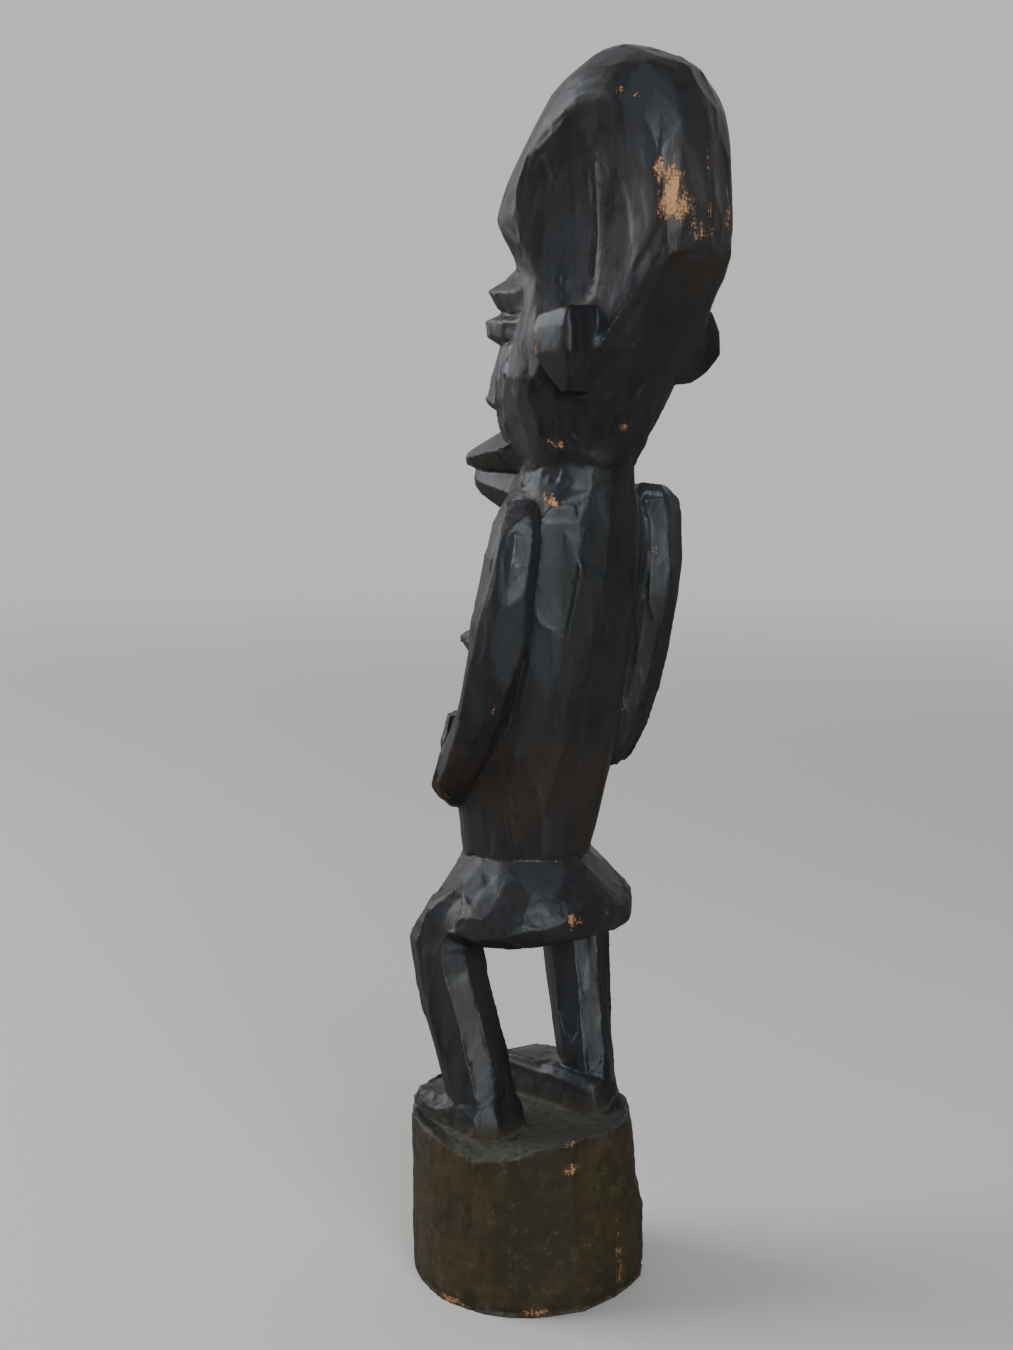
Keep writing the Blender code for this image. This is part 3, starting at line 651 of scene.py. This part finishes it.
def stainedWood():
    material = bpy.data.materials.new("stainedWood")
    material.use_nodes = True
    shader = material.node_tree.nodes["Principled BSDF"]
    nodes = Nodes(material.node_tree)
    place = nodes.add("ShaderNodeTexCoord").outputs["Object"]
    along = nodes.stretched(place, stain["alongGrain"])
    fibre = nodes.noise(along, *stain["fibre"])
    streak = nodes.noise(along, *stain["streak"])
    blotch = nodes.noise(place, *stain["blotch"])
    grit = nodes.noise(place, *stain["grit"])
    mottle = nodes.noise(place, *stain["mottle"])
    tool = nodes.noise(nodes.stretched(place, stain["alongTool"]), *stain["tool"])
    edge = nodes.mask("edge")
    hollow = nodes.mask("hollow")
    bare = nodes.mask("bare")
    brown = nodes.mask("brown")
    onLog = nodes.mask("onLog")
    toneAndSheen = nodes.mask("strokeToneAndSheen")

    # stain on the figure, worn to brown in some zones, with paler strokes that are partly random tone and
    # partly painted sheen
    depth = nodes.plus(nodes.times(streak, 0.5), nodes.times(blotch, 0.5))
    slate = nodes.mix(nodes.remap(depth, *stain["slateBand"]), stain["black"], stain["slate"])
    patches = nodes.remap(nodes.plus(fibre, blotch), *stain["brownBand"], stain["brownReach"])
    brownShare = nodes.times(brown, patches)
    figure = nodes.mix(brownShare, slate, stain["brown"])
    # painted sheen: the strokes that catch the light get the paler bluish grey
    figure = nodes.mix(nodes.times(toneAndSheen, stain["paleShare"]), figure, stain["pale"])

    # the log, with darker streaks, specks of grey dust and pale end grain
    patchy = nodes.plus(nodes.plus(blotch, mottle), nodes.times(streak, stain["streakShare"]))
    logStreak = nodes.remap(patchy, *stain["logBand"])
    log = nodes.mix(logStreak, stain["logDark"], stain["logBrown"])
    specks = nodes.remap(nodes.times(grit, mottle), *stain["speckBand"])
    log = nodes.mix(nodes.times(specks, stain["speckShare"]), log, stain["dust"])
    wornEdge = nodes.times(edge, nodes.remap(mottle, *stain["wornBand"]))
    worn = nodes.combine("MAXIMUM", nodes.mask("endGrain"), wornEdge)
    log = nodes.mix(worn, log, stain["endGrain"])
    wood = nodes.mix(onLog, figure, log)

    # edges rubbed brown and lighter, partly wear and partly a painted edge highlight; hollows darkened
    # towards black
    edgeShare = nodes.times(edge, nodes.remap(blotch, *stain["edgeBand"], stain["edgeReach"]))
    wood = nodes.mix(edgeShare, wood, stain["brown"])
    wood = nodes.mix(nodes.times(hollow, stain["hollowShare"]), wood, stain["black"])

    # bare wood where the stain has rubbed away
    ragged = bare
    for noise, weight in zip((fibre, grit, mottle), stain["fray"]):
        ragged = nodes.plus(ragged, nodes.times(nodes.less(noise, 0.5), weight))
    bareRim = nodes.remap(bare, *stain["bareRim"])
    bareShare = nodes.times(nodes.remap(ragged, *stain["bareBand"]), bareRim)
    bareFade = nodes.remap(ragged, *stain["bareFade"])
    bareColour = nodes.mix(bareFade, stain["bareDark"], stain["bareWood"])
    wood = nodes.mix(bareShare, wood, bareColour)
    nodes.link(wood, shader.inputs["Base Color"])

    sheen = nodes.times(nodes.less(streak, toneAndSheen), stain["polishSpread"])
    polish = nodes.plus(stain["roughness"] - stain["polishDrop"], sheen)
    polish = nodes.blend(onLog, polish, stain["logRoughness"])
    polish = nodes.blend(bareShare, polish, stain["bareRoughness"])
    nodes.link(polish, shader.inputs["Roughness"])

    grain = nodes.add("ShaderNodeBump")
    grain.inputs["Strength"].default_value = stain["grainStrength"]
    grain.inputs["Distance"].default_value = stain["grainBump"]
    nodes.link(nodes.plus(fibre, nodes.times(grit, stain["gritShare"])), grain.inputs["Height"])
    marks = nodes.add("ShaderNodeBump")
    marks.inputs["Strength"].default_value = stain["toolStrength"]
    marks.inputs["Distance"].default_value = stain["toolBump"]
    nodes.link(tool, marks.inputs["Height"])
    nodes.link(grain.outputs["Normal"], marks.inputs["Normal"])
    nodes.link(marks.outputs["Normal"], shader.inputs["Normal"])
    shader.inputs["Specular IOR Level"].default_value = stain["gloss"]
    return material


figure = carveFigure()
maskFigure(figure)
figure.data.materials.clear()
figure.data.materials.append(stainedWood())
figure.data.polygons.foreach_set("use_smooth", [True] * len(figure.data.polygons))
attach(figure, "root")
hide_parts("carved_figure")
print("figure finished")


# Studio: floor, lights and camera

studio = {
    "floorRadius": 6.0,
    "floorSides": 96,
    "floorRoughness": 0.8,
    "fade": (0.5, 2.4),
    "floorColour": (0.62, 0.60, 0.57),
    "backdrop": (0.66, 0.65, 0.63),
    "paleSide": 240.0,
    "paleWall": (0.82, 0.83, 0.86),
    "dimWall": (0.07, 0.07, 0.075),
    "ceiling": (0.30, 0.31, 0.33),
    # rise of the pale side, and the bands in which wall and ceiling fade in
    "paleRise": 0.25,
    "wallBand": (-0.2, 0.75),
    "ceilingBand": (0.55, 0.95),
    "floorGlow": (0.21, 0.18, 0.135),
    # distance from the figure's axis, angle in degrees, height, size, watts, colour
    "keyLight": (1.5, -56.0, 0.90, 1.2, 29.0, (0.94, 0.97, 1.0)),
    "windowLight": (1.5, 62.0, 0.55, 0.70, 21.0, (0.88, 0.95, 1.0)),
    "cameraAngle": 135.0,
    "cameraDistance": 0.652,
    "cameraHeight": 0.298,
    "cameraDrop": 8.41,
    "cameraAside": 0.0069,
    "lens": 54.1,
    "sensorWidth": 36.0,
    "aimHeight": 0.2,
}


def buildFloor():
    deselectAll()
    bpy.ops.mesh.primitive_circle_add(
        vertices=studio["floorSides"],
        radius=studio["floorRadius"],
        fill_type="NGON",
        location=(0, 0, 0),
    )
    floor = bpy.context.active_object
    floor.name = "floor"
    material = bpy.data.materials.new("paleFloor")
    material.use_nodes = True
    shader = material.node_tree.nodes["Principled BSDF"]
    shader.inputs["Roughness"].default_value = studio["floorRoughness"]
    # the camera sees a pale floor that fades into the backdrop far away, and the figure gets a weak warm glow
    nodes = Nodes(material.node_tree)
    away = nodes.add("ShaderNodeVectorMath", operation="LENGTH")
    nodes.link(nodes.add("ShaderNodeTexCoord").outputs["Object"], away.inputs[0])
    seen = nodes.add("ShaderNodeLightPath").outputs["Is Camera Ray"]
    nodes.link(nodes.mix(seen, studio["floorGlow"], studio["floorColour"]), shader.inputs["Base Color"])
    fade = nodes.times(nodes.remap(away.outputs["Value"], *studio["fade"]), seen)
    glow = nodes.add("ShaderNodeEmission")
    glow.inputs["Color"].default_value = (*studio["backdrop"], 1.0)
    both = nodes.add("ShaderNodeMixShader")
    nodes.link(fade, both.inputs[0])
    nodes.link(shader.outputs[0], both.inputs[1])
    nodes.link(glow.outputs[0], both.inputs[2])
    nodes.link(both.outputs[0], material.node_tree.nodes["Material Output"].inputs["Surface"])
    floor.data.materials.append(material)


def addLight(name, distance, angle, height, size, watts, colour):
    deselectAll()
    turn = math.radians(angle)
    place = Vector((distance * math.cos(turn), distance * math.sin(turn), height))
    bpy.ops.object.light_add(type="AREA", location=place)
    light = bpy.context.active_object
    light.name = name
    light.data.shape = "SQUARE"
    light.data.size = size
    light.data.energy = watts
    light.data.color = colour
    aim = Vector((0, 0, studio["aimHeight"])) - place
    light.rotation_euler = aim.to_track_quat("-Z", "Y").to_euler()


def addCamera():
    deselectAll()
    angle = math.radians(studio["cameraAngle"])
    drop = math.radians(studio["cameraDrop"])
    across = Vector((math.cos(angle), math.sin(angle), 0))
    away = Vector((math.sin(angle), -math.cos(angle), 0))
    place = away * studio["cameraDistance"] - across * studio["cameraAside"]
    place.z = studio["cameraHeight"]
    ahead = -away * math.cos(drop) - Vector((0, 0, math.sin(drop)))
    bpy.ops.object.camera_add(location=place)
    camera = bpy.context.active_object
    camera.name = "photoCamera"
    camera.rotation_euler = ahead.to_track_quat("-Z", "Y").to_euler()
    camera.data.sensor_width = studio["sensorWidth"]
    camera.data.lens = studio["lens"]
    bpy.context.scene.camera = camera


def lightRoom():
    world = bpy.data.worlds.new("studioLight")
    bpy.context.scene.world = world
    world.use_nodes = True
    nodes = Nodes(world.node_tree)
    background = world.node_tree.nodes["Background"]
    turn = math.radians(studio["paleSide"])
    around = nodes.add("ShaderNodeTexCoord").outputs["Generated"]
    direction = nodes.add("ShaderNodeVectorMath", operation="DOT_PRODUCT")
    nodes.link(around, direction.inputs[0])
    direction.inputs[1].default_value = (math.cos(turn), math.sin(turn), studio["paleRise"])
    paleShare = nodes.remap(direction.outputs["Value"], *studio["wallBand"])
    walls = nodes.mix(paleShare, studio["dimWall"], studio["paleWall"])
    seen = nodes.add("ShaderNodeLightPath").outputs["Is Camera Ray"]
    height = nodes.add("ShaderNodeSeparateXYZ")
    nodes.link(around, height.inputs[0])
    ceilingShare = nodes.remap(height.outputs["Z"], *studio["ceilingBand"])
    walls = nodes.mix(ceilingShare, walls, studio["ceiling"])
    nodes.link(nodes.mix(seen, walls, studio["backdrop"]), background.inputs["Color"])
    background.inputs["Strength"].default_value = 1.0


buildFloor()
addLight("keyLight", *studio["keyLight"])
addLight("windowLight", *studio["windowLight"])
lightRoom()
addCamera()
print("studio ready")
